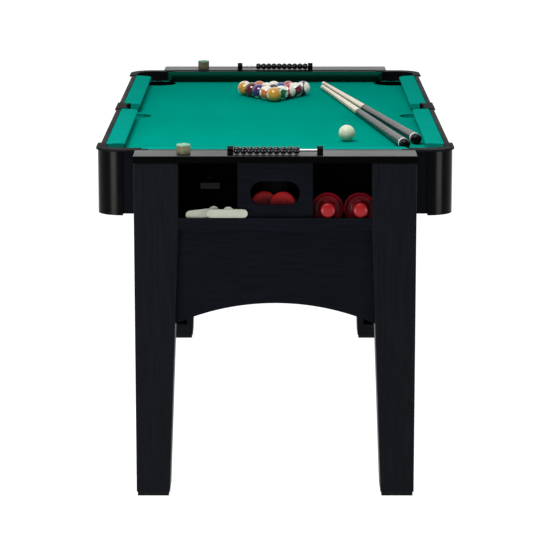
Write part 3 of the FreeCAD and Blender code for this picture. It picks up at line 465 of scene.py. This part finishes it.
def lathe(profile, bands=None, steps=48):
    """Turns (radius, height) points about +Z.  bands gives the material index of each profile step."""
    mesh = bmesh.new()
    rings = []
    for radius, height in profile:
        if radius < 1e-6:
            rings.append([mesh.verts.new((0, 0, height))])
            continue
        ring = []
        for step in range(steps):
            angle = 2 * math.pi * step / steps
            ring.append(mesh.verts.new((radius * math.cos(angle), radius * math.sin(angle), height)))
        rings.append(ring)
    for index, (low, high) in enumerate(zip(rings, rings[1:])):
        for step in range(steps):
            after = (step + 1) % steps
            corners = [low[step % len(low)], low[after % len(low)], high[after % len(high)],
                       high[step % len(high)]]
            unique = list(dict.fromkeys(corners))
            if len(unique) < 3:
                continue
            face = mesh.faces.new(unique)
            face.material_index = bands[index] if bands else 0
    return mesh


def crease_by_angle(piece, degrees=35):
    """Keeps hard edges hard under smooth shading."""
    data = piece.data
    mesh = bmesh.new()
    mesh.from_mesh(data)
    limit = math.radians(degrees)
    for edge in mesh.edges:
        edge.smooth = len(edge.link_faces) == 2 and edge.calc_face_angle(0) < limit
    mesh.to_mesh(data)
    mesh.free()


def rounded(piece, width, segments=3, degrees=35):
    """A bevel modifier on the sharper edges."""
    bevel = piece.modifiers.new("edges", "BEVEL")
    bevel.width = width
    bevel.segments = segments
    bevel.limit_method = "ANGLE"
    bevel.angle_limit = math.radians(degrees)
    bevel.harden_normals = False


def middle_of(node):
    low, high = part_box(node)
    return (Vector(low) + Vector(high)) / 2


# ---------------------------------------------------------------- cushions and cloth
RAIL_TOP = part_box("cushion_far")[1][2]
FIELD_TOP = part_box("cushion_far")[0][2]


END_SLANT = 0.016     # how much longer an end rail's back is than its nose, at each end
CORNER_SLANT = 0.020  # the same for a side rail, toward its corner pocket
MIDDLE_SLANT = 0.012  # and toward the middle pocket


def rail_section():
    """Cushion section: (share of the depth from the nose, height), up the face and over to the back."""
    tall = RAIL_TOP - FIELD_TOP
    points = [(0.28, 0.0), (0.19, tall * 0.22), (0.09, tall * 0.46), (0.035, tall * 0.60)]
    for step in range(7):
        angle = math.radians(200 - step * 22)
        points.append((0.062 + 0.062 * math.cos(angle), tall * 0.79 + tall * 0.15 * math.sin(angle)))
    points += [(0.14, tall * 0.965), (0.25, tall * 0.99), (0.45, tall), (0.7, tall), (0.93, tall * 0.995),
               (0.985, tall * 0.97), (1.0, tall * 0.90), (1.0, 0.0)]
    return points


def make_cushion(node, depth, nose_run, back_run, place):
    """A cloth-covered rail along +X with its nose toward -Y: nose_run and back_run are its (start, stop)."""
    mesh = bmesh.new()
    section = rail_section()
    stations = 64
    rows = []
    for station in range(stations + 1):
        share = station / stations
        row = []
        for along, height in section:
            start = nose_run[0] + (back_run[0] - nose_run[0]) * along
            stop = nose_run[1] + (back_run[1] - nose_run[1]) * along
            ripple = 0.00012 * math.sin(share * 90 + along * 7) * (0.2 < along < 0.9)
            row.append(mesh.verts.new((start + (stop - start) * share, along * depth,
                                       FIELD_TOP + height - abs(ripple))))
        rows.append(row)
    for low, high in zip(rows, rows[1:]):
        for index in range(len(section)):
            after = (index + 1) % len(section)
            mesh.faces.new([low[index], low[after], high[after], high[index]])
    mesh.faces.new(rows[0])
    mesh.faces.new(list(reversed(rows[-1])))
    # the far rail takes the darker copy of the cloth: painted shade
    look = "far_cloth" if node == "cushion_far" else "rail_cloth"
    piece = finish_piece(f"cloth_{node}", mesh, look, "cabinet", place)
    crease_by_angle(piece, 50)
    rounded(piece, 0.0016, 3, 50)
    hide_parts(node)
    return piece


def make_cushions():
    """All six rails, sized from the CAD solids' boxes and the pocket angles."""
    half_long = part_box("cushion_far")[1][0]
    end_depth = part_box("cushion_far")[1][1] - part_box("cushion_far")[0][1]
    end_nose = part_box("cushion_far")[0][1]
    nose_half = half_long - END_SLANT
    for node, turn in (("cushion_far", 0), ("cushion_near", 180)):
        place = Matrix.Rotation(math.radians(turn), 4, "Z") @ Matrix.Translation((0, end_nose, 0))
        make_cushion(node, end_depth, (-nose_half, nose_half), (-half_long, half_long), place)
    low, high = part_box("cushion_right_far")
    depth = high[0] - low[0]
    long_side = (high[1] - CORNER_SLANT, high[1])
    short_side = (low[1] + MIDDLE_SLANT, low[1])
    for node, turn, flip in (("cushion_right_far", -90, False), ("cushion_right_near", -90, True),
                             ("cushion_left_far", 90, True), ("cushion_left_near", 90, False)):
        nose = (-long_side[0], -short_side[0])
        back = (-long_side[1], -short_side[1])
        if flip:
            nose = (short_side[0], long_side[0])
            back = (short_side[1], long_side[1])
        place = Matrix.Rotation(math.radians(turn), 4, "Z") @ Matrix.Translation((0, low[0], 0))
        make_cushion(node, depth, nose, back, place)


SIDE_HOLE, SIDE_HOLE_ACROSS = 0.038, 0.345
CORNER_HOLE, CORNER_HOLE_ACROSS, CORNER_HOLE_ALONG = 0.053, 0.323, 0.670
# how a rim is turned under: (drop, pull toward the hole's middle) of each step
DEEP_TUCK = ((0.0004, 0.0008), (0.0012, 0.0009), (0.0024, 0.0007), (0.0080, 0.0))
SHALLOW_TUCK = ((0.0003, 0.0004), (0.0006, 0.0002))


def tuck_rim(mesh, rim, steps):
    """Rolls the rim of a hole over and down: each step is (drop, pull toward the hole's middle)."""
    centres = []
    for side in (-1, 1):
        centres += [Vector((side * CORNER_HOLE_ACROSS, end * CORNER_HOLE_ALONG, 0)) for end in (-1, 1)]
        centres.append(Vector((side * SIDE_HOLE_ACROSS, 0, 0)))
    for drop, pull in steps:
        grown = bmesh.ops.extrude_edge_only(mesh, edges=rim)["geom"]
        rim = [item for item in grown if isinstance(item, bmesh.types.BMEdge)]
        for vert in [item for item in grown if isinstance(item, bmesh.types.BMVert)]:
            flat = vert.co.xy.to_3d()
            centre = min(centres, key=lambda spot: (spot - flat).length)
            vert.co += (centre - flat).normalized() * pull - Vector((0, 0, drop))


def make_field_cloth():
    """The stretched cloth: flat on the board, tucked far down at middle holes and just under at corners."""
    low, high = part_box("pool_cloth")
    source = NODES["pool_cloth"].data
    mesh = bmesh.new()
    mesh.from_mesh(source)
    bmesh.ops.remove_doubles(mesh, verts=mesh.verts, dist=1e-6)
    level = high[2]
    doomed = [face for face in mesh.faces if face.calc_center_median().z < level - 1e-5]
    bmesh.ops.delete(mesh, geom=doomed, context="FACES")
    holes = {"side": [], "corner": []}
    for edge in mesh.edges:
        if len(edge.link_faces) != 1:
            continue
        spot = (edge.verts[0].co + edge.verts[1].co) / 2
        from_edge = min(high[0] - abs(spot.x), high[1] - abs(spot.y))
        near_side = abs(spot.x) > SIDE_HOLE_ACROSS - 1.3 * SIDE_HOLE and abs(spot.y) < 1.3 * SIDE_HOLE
        near_corner = (abs(spot.x) > CORNER_HOLE_ACROSS - 1.3 * CORNER_HOLE
                       and abs(spot.y) > CORNER_HOLE_ALONG - 1.3 * CORNER_HOLE)
        if near_side:
            holes["side"].append(edge)
        elif near_corner and from_edge > 0.004:
            holes["corner"].append(edge)
    tuck_rim(mesh, holes["side"], DEEP_TUCK)
    tuck_rim(mesh, holes["corner"], SHALLOW_TUCK)
    piece = finish_piece("field_cloth", mesh, "cloth", "cabinet")
    crease_by_angle(piece, 40)
    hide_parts("pool_cloth")


# ---------------------------------------------------------------- balls and cues
BALL = 0.01905
TONES = {
    "gold": (0.60, 0.30, 0.04), "blue": (0.012, 0.030, 0.22), "red": (0.36, 0.012, 0.016),
    "purple": (0.045, 0.016, 0.13), "orange": (0.56, 0.15, 0.03), "green": (0.0, 0.12, 0.05),
    "maroon": (0.11, 0.006, 0.018), "black": (0.006, 0.006, 0.007), "rose": (0.42, 0.06, 0.06),
}
# rows from the apex: colour, striped or not, and the three turns of each ball
RACK = (
    (("gold", False, (80, 10, 200)),),
    (("orange", True, (10, 5, 20)), ("green", True, (12, -12, 150))),
    (("purple", False, (20, 60, 240)), ("black", False, (30, 20, 100)), ("red", True, (75, 25, 60))),
    (("maroon", False, (35, 35, 300)), ("rose", True, (8, 10, 80)), ("blue", False, (10, 15, 190)),
     ("maroon", True, (12, 20, 240))),
    (("gold", True, (20, 60, 0)), ("orange", False, (20, 0, 200)), ("green", True, (5, 0, 290)),
     ("rose", False, (50, 30, 120)), ("purple", True, (80, 40, 60))),
)


def ball_mesh():
    """A smooth ball from a subdivided cube pushed out to the radius."""
    mesh = bmesh.new()
    bmesh.ops.create_cube(mesh, size=2)
    bmesh.ops.subdivide_edges(mesh, edges=mesh.edges, cuts=15, use_grid_fill=True)
    for vert in mesh.verts:
        vert.co = vert.co.normalized() * BALL
    return mesh


def make_balls():
    low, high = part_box("object_balls")
    apex = Vector(((low[0] + high[0]) / 2, low[1] + BALL, (low[2] + high[2]) / 2))
    pitch = (high[0] - low[0] - 2 * BALL) / 4
    finishes = {}
    count = 0
    for line, balls in enumerate(RACK):
        for spot, (tone, striped, turns) in enumerate(balls):
            if (tone, striped) not in finishes:
                kind = "band" if striped else "solid"
                finishes[tone, striped] = ball_finish(f"ball_{tone}_{kind}", TONES[tone], striped)
            count += 1
            centre = apex + Vector(((spot - line / 2) * pitch, line * pitch * math.sqrt(0.75), 0))
            spin = Euler([math.radians(turn) for turn in turns]).to_matrix().to_4x4()
            place = Matrix.Translation(centre) @ spin
            piece = finish_piece(f"ball_{count:02d}", ball_mesh(), [finishes[tone, striped]], "balls",
                                 place)
            if count == 1:
                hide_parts("object_balls")
    place = Matrix.Translation(middle_of("cue_ball"))
    piece = finish_piece("white_ball", ball_mesh(), "ivory", "cue_ball_body", place)
    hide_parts("cue_ball")


CUE = 1.143
TIP, BUTT = 0.0055, 0.0124
REST_GAP = 0.0003


def cue_profile():
    """(radius, height, material of the step that follows): tip, ferrule, shaft, butt, ring, cap."""
    joint = CUE * 0.49
    ring = CUE - 0.030
    return [
        (0.0, 0.0, 0), (TIP - 0.0024, 0.0002, 0), (TIP - 0.0010, 0.0012, 0), (TIP - 0.0003, 0.0035, 0),
        (TIP - 0.0001, 0.0036, 1), (TIP, 0.019, 1),
        (TIP, 0.0191, 2), (TIP + 0.0011, CUE * 0.18, 2), (TIP + 0.0022, CUE * 0.34, 2),
        (TIP + 0.0029, joint - 0.012, 2),
        (TIP + 0.0030, joint - 0.0119, 4), (TIP + 0.0030, joint - 0.003, 4),
        (TIP + 0.0031, joint, 4), (TIP + 0.0031, joint + 0.012, 4),
        (TIP + 0.0032, joint + 0.0121, 5), (BUTT - 0.0020, CUE * 0.80, 5), (BUTT - 0.0006, ring - 0.001, 5),
        (BUTT - 0.0002, ring, 3), (BUTT - 0.0001, ring + 0.007, 3),
        (BUTT - 0.0004, ring + 0.0075, 6), (BUTT - 0.0002, CUE - 0.009, 6), (BUTT - 0.0014, CUE - 0.005, 6),
        (BUTT - 0.0042, CUE - 0.0018, 6), (BUTT - 0.0084, CUE - 0.0002, 6), (0.0, CUE, 6),
    ]


def make_cue(node, body, tip, swing):
    profile = cue_profile()
    bands = [point[2] for point in profile[:-1]]
    mesh = lathe([point[:2] for point in profile], bands, 40)
    lean = math.atan((BUTT - TIP) / CUE)
    place = (Matrix.Translation((tip[0], tip[1], FIELD_TOP + TIP + REST_GAP))
             @ Matrix.Rotation(math.radians(swing), 4, "Z") @ Matrix.Rotation(math.pi / 2 - lean, 4, "X"))
    looks = ["leather", "ring", "maple", "ring", "cap", "butt", "cap"]
    piece = finish_piece(f"{node}_stick", mesh, looks, body, place)
    crease_by_angle(piece, 40)
    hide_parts(node)


# ---------------------------------------------------------------- small loose pieces
CHALK_TURN = 40
CHALK_REACH = 0.0155  # from the middle of a turned cube to its outermost corner, along the table
CHALK_DISH = 0.0022


def make_chalk():
    """Two cubes: a paper wrap up the sides and a worn, dished chalk face on top."""
    low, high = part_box("chalk_cubes")
    side = high[2] - low[2]
    for number, along in enumerate((low[1] + CHALK_REACH, high[1] - CHALK_REACH), start=1):
        mesh = bmesh.new()
        bmesh.ops.create_cube(mesh, size=side)
        bmesh.ops.subdivide_edges(mesh, edges=mesh.edges, cuts=11, use_grid_fill=True)
        half = side / 2
        for vert in mesh.verts:
            if vert.co.z > half - 1e-5:
                reach = math.hypot(vert.co.x, vert.co.y) / half
                vert.co.z -= CHALK_DISH * max(0.0, 1 - reach * reach)
        mesh.normal_update()
        for face in mesh.faces:
            wrapped = abs(face.normal.z) < 0.5 and face.calc_center_median().z < half * 0.72
            seen_right = face.normal.x > 0.5 or face.normal.y > 0.5
            face.material_index = (2 if seen_right else 1) if wrapped else 0
        place = (Matrix.Translation(((low[0] + high[0]) / 2, along, low[2] + half))
                 @ Matrix.Rotation(math.radians(CHALK_TURN), 4, "Z"))
        piece = finish_piece(f"chalk_{number}", mesh, ["chalk", "label_brown", "label_gold"], "chalk",
                             place)
        crease_by_angle(piece, 30)
        rounded(piece, 0.0006, 2, 60)
        if number == 1:
            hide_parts("chalk_cubes")


def make_pucks():
    """Two pucks with a raised rim, a shallow dished face and a ribbed edge."""
    radius, thick = 0.029, 0.006
    profile = [(0, 0.0012), (0.012, 0.0012), (0.020, 0.0008), (0.0225, 0.0), (radius - 0.0014, 0.0),
               (radius - 0.0004, 0.0004), (radius, 0.0013), (radius - 0.0005, thick / 2),
               (radius, thick - 0.0013), (radius - 0.0004, thick - 0.0004), (radius - 0.0014, thick),
               (0.0225, thick), (0.020, thick - 0.0008), (0.012, thick - 0.0012), (0, thick - 0.0012)]
    lean = math.radians(17.5)
    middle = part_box("pucks")[0][2] + radius * math.cos(lean)
    for name, across, along in (("puck_front", 0.017, -0.7965), ("puck_rear", -0.024, -0.790)):
        place = Matrix.Translation((across, along, middle)) @ Matrix.Rotation(math.pi / 2 - lean, 4, "X")
        piece = finish_piece(name, lathe(profile, None, 72), "red", "end_frames", place)
        crease_by_angle(piece, 50)
        if name == "puck_front":
            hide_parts("pucks")


def make_strikers():
    """Two hand strikers: a dished disc with a rolled rim and a waisted, domed knob."""
    rim, knob, tall = 0.0353, 0.016, 0.045
    back_along = -0.800
    lean = math.radians(1)
    disc = [(0, 0), (rim - 0.003, 0), (rim - 0.001, 0.0004), (rim, 0.0016), (rim, 0.0085),
            (rim - 0.0005, 0.0099), (rim - 0.0016, 0.0105), (rim - 0.0030, 0.0100),
            (rim - 0.0042, 0.0085), (rim - 0.0060, 0.0052), (rim - 0.0085, 0.0042), (knob + 0.004, 0.0042),
            (knob + 0.0006, 0.0055)]
    grip = [(knob - 0.0016, 0.0085), (knob - 0.0024, 0.014), (knob - 0.0022, 0.024),
            (knob - 0.0006, 0.032), (knob, 0.037), (knob - 0.0006, 0.0410), (knob - 0.0030, 0.0435),
            (knob - 0.0080, 0.0446), (0, tall)]
    bands = [0] * len(disc) + [1] * (len(grip) - 1)
    for node, body in (("striker_left", "left_striker"), ("striker_right", "right_striker")):
        low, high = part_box(node)
        place = (Matrix.Translation(((low[0] + high[0]) / 2, back_along, low[2] + rim))
                 @ Matrix.Rotation(math.pi / 2 - lean, 4, "X"))
        piece = finish_piece(f"{node}_turned", lathe(disc + grip, bands, 72), ["dark_red", "knob_red"], body,
                             place)
        crease_by_angle(piece, 60)
        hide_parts(node)


BAR_TALL, BAR_THICK = 0.0185, 0.005
CLAMP_RADIUS, CLAMP_HEIGHT, CLAMP_RIBS = 0.012, 0.637, 15


def bar_outline(long, tall):
    """Points round a flat bar with half-round ends, in (x, z) about its middle."""
    points = []
    turn = tall / 2
    for centre, start in ((long / 2 - turn, -90), (-long / 2 + turn, 90)):
        for step in range(17):
            angle = math.radians(start + step * 180 / 16)
            points.append((centre + turn * math.cos(angle), turn * math.sin(angle)))
    return points


def make_net_bar(number, middle, long, tilt):
    """A flat bar on edge with a sunk panel in its front face."""
    mesh = bmesh.new()
    face = mesh.faces.new([mesh.verts.new((x, 0, z)) for x, z in bar_outline(long, BAR_TALL)])
    moved = bmesh.ops.extrude_face_region(mesh, geom=[face])["geom"]
    bmesh.ops.translate(mesh, verts=[v for v in moved if isinstance(v, bmesh.types.BMVert)],
                        vec=(0, -BAR_THICK, 0))
    front = [f for f in mesh.faces if f.calc_center_median().y < -BAR_THICK + 1e-6]
    bmesh.ops.inset_region(mesh, faces=front, thickness=0.0030, depth=-0.0008)
    place = Matrix.Translation(middle) @ Matrix.Rotation(math.radians(tilt), 4, "Y")
    bar = finish_piece(f"net_bar_{number}", mesh, "white", "net_set", place)
    crease_by_angle(bar, 30)
    rounded(bar, 0.0006, 3, 40)
    return bar


def make_net_clamp(number, across, along):
    """A ribbed clamp knob behind a bar, on a foot that stands on the bay floor."""
    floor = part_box("net_posts")[0][2]
    centre = Vector((across, along, CLAMP_HEIGHT))
    knob = lathe([(0, 0.0), (0.0116, 0.0), (CLAMP_RADIUS, 0.0008), (CLAMP_RADIUS, 0.0052), (0.0112, 0.0064),
                  (0.0085, 0.0070), (0.0075, 0.0062), (0.0, 0.0062)], None, 60)
    for vert in knob.verts:
        angle = math.atan2(vert.co.y, vert.co.x)
        if math.hypot(vert.co.x, vert.co.y) > 0.011:
            vert.co.xy *= 1 - 0.03 * (0.5 + 0.5 * math.cos(angle * CLAMP_RIBS))
    seat = Matrix.Translation(centre) @ Matrix.Rotation(-math.pi / 2, 4, "X")
    screw = finish_piece(f"net_knob_{number}", knob, "white", "net_set", seat)
    crease_by_angle(screw, 40)
    foot = bmesh.new()
    bmesh.ops.create_cube(foot, size=1)
    tall = centre.z - 0.006 - floor
    for vert in foot.verts:
        flare = 1.0 if vert.co.z < 0 else 0.72
        vert.co = Vector((vert.co.x * 0.014 * flare, vert.co.y * 0.0046, vert.co.z * tall))
    spot = Matrix.Translation((across, along + 0.0045, floor + tall / 2))
    stand = finish_piece(f"net_foot_{number}", foot, "white", "net_set", spot, False)
    rounded(stand, 0.0012, 3, 30)


def make_net_posts():
    """One bar lies level on the lip; the other has slipped behind the lip at its left end."""
    slipped = make_net_bar(1, (-0.162, -0.8295, 0.6331), 0.066, -7)
    make_net_bar(2, (-0.1045, -0.8375, 0.6346), 0.089, 0)
    make_net_clamp(1, -0.134, -0.8295)
    make_net_clamp(2, -0.102, -0.8375)
    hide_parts("net_posts")


# ---------------------------------------------------------------- stage, light and camera
def make_floor():
    """A wide plain pale floor that glows a little, so contact shadows stay faint."""
    mesh = bmesh.new()
    bmesh.ops.create_circle(mesh, cap_ends=True, segments=96, radius=70)
    data = bpy.data.meshes.new("floor")
    mesh.to_mesh(data)
    mesh.free()
    floor = bpy.data.objects.new("floor", data)
    bpy.context.scene.collection.objects.link(floor)
    shader = Shader("floor_paper")
    shader.set(Base_Color=(0.42, 0.42, 0.42, 1), Roughness=0.9, Specular_IOR_Level=0.0,
               Emission_Color=(1, 1, 1, 1), Emission_Strength=0.85)
    data.materials.append(shader.material)


def soft_box(name, place, aim, wide, tall, watts, tint=(1, 1, 1)):
    lamp = bpy.data.lights.new(name, "AREA")
    lamp.shape = "RECTANGLE"
    lamp.size = wide
    lamp.size_y = tall
    lamp.energy = watts
    lamp.color = tint
    holder = bpy.data.objects.new(name, lamp)
    bpy.context.scene.collection.objects.link(holder)
    holder.location = place
    holder.rotation_euler = (Vector(aim) - Vector(place)).to_track_quat("-Z", "Y").to_euler()
    holder.visible_camera = False
    return holder


def make_light():
    world = bpy.data.worlds.new("studio")
    world.use_nodes = True
    bpy.context.scene.world = world
    nodes = world.node_tree.nodes
    links = world.node_tree.links
    spot = nodes.new("ShaderNodeTexCoord")
    split = nodes.new("ShaderNodeSeparateXYZ")
    links.new(spot.outputs["Generated"], split.inputs[0])
    ramp = nodes.new("ShaderNodeMapRange")
    ramp.interpolation_type = "SMOOTHSTEP"
    ramp.inputs["From Min"].default_value = -0.55
    ramp.inputs["From Max"].default_value = 0.75
    ramp.inputs["To Min"].default_value = 0.12
    ramp.inputs["To Max"].default_value = 1.0
    links.new(split.outputs[1], ramp.inputs["Value"])
    links.new(ramp.outputs["Result"], nodes["Background"].inputs["Strength"])
    nodes["Background"].inputs["Color"].default_value = (1, 1, 1, 1)
    soft_box("key", (-0.5, -1.5, 3.1), (0, -0.45, 0.75), 1.5, 1.5, 82)
    soft_box("left_strip", (-2.22, -2.87, 0.45), (0, -0.7, 0.6), 1.25, 0.8, 65)
    soft_box("right_strip", (2.62, -2.45, 0.45), (0, -0.7, 0.6), 1.25, 0.8, 50)


def make_camera():
    """A long lens in line with the table, looking down from about twice its height."""
    pitch = math.radians(11.19)
    near_end, away, height = -0.850, 5.498, 1.588
    camera = bpy.data.cameras.new("camera")
    camera.lens = 168.15
    camera.sensor_width = 36
    camera.shift_x = -0.0003
    camera.clip_end = 200
    holder = bpy.data.objects.new("camera", camera)
    bpy.context.scene.collection.objects.link(holder)
    holder.location = (0, near_end - away, height)
    holder.rotation_euler = (math.pi / 2 - pitch, 0, 0)
    bpy.context.scene.camera = holder
    bpy.context.scene.view_settings.view_transform = "Standard"


dress_nodes()
make_cushions()
make_field_cloth()
make_balls()
make_cue("cue_left", "left_cue", (0.1272, 0.545), 8.49)
make_cue("cue_right", "right_cue", (0.1311, 0.623), 9.84)
make_chalk()
make_pucks()
make_strikers()
make_net_posts()
make_floor()
make_light()
make_camera()
